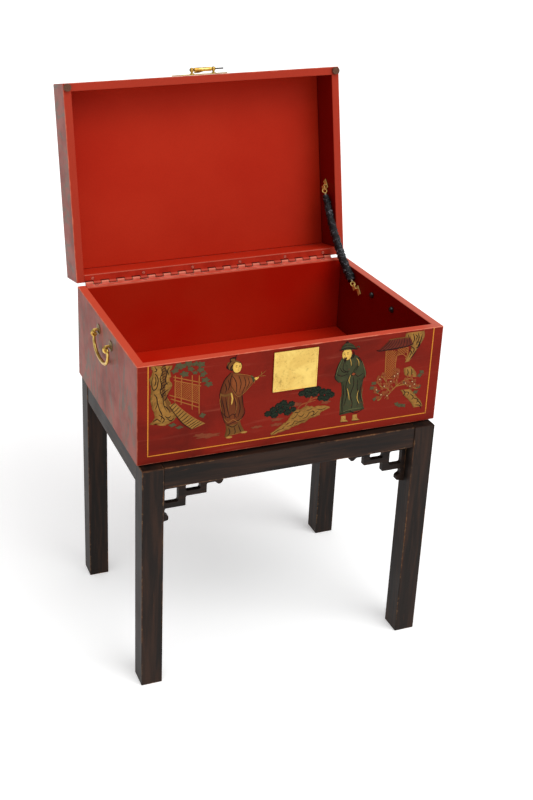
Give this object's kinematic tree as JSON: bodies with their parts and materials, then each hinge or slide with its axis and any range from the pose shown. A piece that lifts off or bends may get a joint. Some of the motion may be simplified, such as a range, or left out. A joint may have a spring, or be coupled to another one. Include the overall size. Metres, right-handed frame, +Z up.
{
  "type": "chest on stand",
  "caption": "Rectangular red lacquered chest with a hinged lid held open by a sleeved stay, brass plates and bail handles, on a dark four-legged stand with stepped fretwork brackets.",
  "frame": {"origin": "on the floor, under the middle of the bounding box of the whole object with its lid open", "axes": "+X to the right of someone facing the chest's front, +Y from its front to its back, +Z up"},
  "size_m": [0.4826, 0.4418, 0.8231],
  "materials": {
    "dark_wood": "near-black brown stain and wax, worn to brown on the upper edges",
    "bare_wood": "unfinished softwood",
    "red_lacquer": "satin red lacquer over wood, painted decoration on the outside",
    "painted_brass": "hinge painted over with the red lacquer, worn on the knuckles",
    "brass": "polished brass with light tarnish",
    "blackened_steel": "blackened, semi-gloss",
    "cork": "dark stained cork",
    "black_fabric": "ruched black cloth sleeve",
    "cotton_cord": "twisted cotton"
  },
  "bodies": {
    "stand": {"leg_front_left": "dark_wood", "leg_front_right": "dark_wood", "leg_back_left": "dark_wood", "leg_back_right": "dark_wood", "rail_front": "dark_wood", "rail_back": "dark_wood", "rail_left": "dark_wood", "rail_right": "dark_wood", "fret_front_left": "dark_wood", "fret_front_right": "dark_wood", "fret_back_left": "dark_wood", "fret_back_right": "dark_wood", "platform": "dark_wood", "corner_block_front_left": "bare_wood", "corner_block_front_right": "bare_wood", "corner_block_back_left": "bare_wood", "corner_block_back_right": "bare_wood"},
    "chest": {"box_front": "red_lacquer", "box_back": "red_lacquer", "box_left": "red_lacquer", "box_right": "red_lacquer", "box_floor": "red_lacquer", "front_plate": "brass", "hinge_leaf_box": "painted_brass", "hinge_pin": "painted_brass", "handle_hook_left_front": "brass", "handle_hook_left_back": "brass", "handle_hook_right_front": "brass", "handle_hook_right_back": "brass", "handle_rosette_left_front": "brass", "handle_rosette_left_back": "brass", "handle_rosette_right_front": "brass", "handle_rosette_right_back": "brass", "handle_nut_left_front": "blackened_steel", "handle_nut_left_back": "blackened_steel", "handle_nut_right_front": "blackened_steel", "handle_nut_right_back": "blackened_steel", "stay_bracket_lower": "brass", "stay_ring_lower": "brass", "stay_cord": "cotton_cord", "stay_sleeve": "black_fabric"},
    "lid": {"lid_front": "red_lacquer", "lid_back": "red_lacquer", "lid_left": "red_lacquer", "lid_right": "red_lacquer", "lid_panel": "red_lacquer", "hinge_leaf_lid": "painted_brass", "bumper_left": "cork", "bumper_right": "cork", "lock_plate": "brass", "lock_post_left": "brass", "lock_post_right": "brass", "stay_bracket_upper": "brass", "stay_ring_upper": "brass"},
    "hasp": {"hasp": "brass"},
    "lock_pin": {"lock_pin": "blackened_steel"},
    "bail_left": {"bail_left": "brass"},
    "bail_right": {"bail_right": "brass"}
  },
  "joints": [
    {"name": "chest_lift", "type": "slide", "parent": "stand", "child": "chest", "axis": [0, 0, 1], "range_m": [0, 0.15]},
    {"name": "lid_hinge", "type": "hinge", "parent": "chest", "child": "lid", "pos_m": [0, 0.09579, 0.5145], "axis": [1, 0, 0], "range_deg": [0, 101.7], "deforming": ["stay_sleeve", "stay_cord"]},
    {"name": "hasp_hinge", "type": "hinge", "parent": "lid", "child": "hasp", "pos_m": [0, 0.17377, 0.81952], "axis": [1, 0, 0], "range_deg": [0, 195]},
    {"name": "lock_pin_slide", "type": "slide", "parent": "lid", "child": "lock_pin", "axis": [1, 0, 0], "range_m": [0, 0.05]},
    {"name": "bail_left_hinge", "type": "hinge", "parent": "chest", "child": "bail_left", "pos_m": [-0.2347, -0.05771, 0.486], "axis": [0, 1, 0], "range_deg": [-6, 165]},
    {"name": "bail_right_hinge", "type": "hinge", "parent": "chest", "child": "bail_right", "pos_m": [0.2347, -0.05771, 0.486], "axis": [0, -1, 0], "range_deg": [-6, 165]}
  ]
}
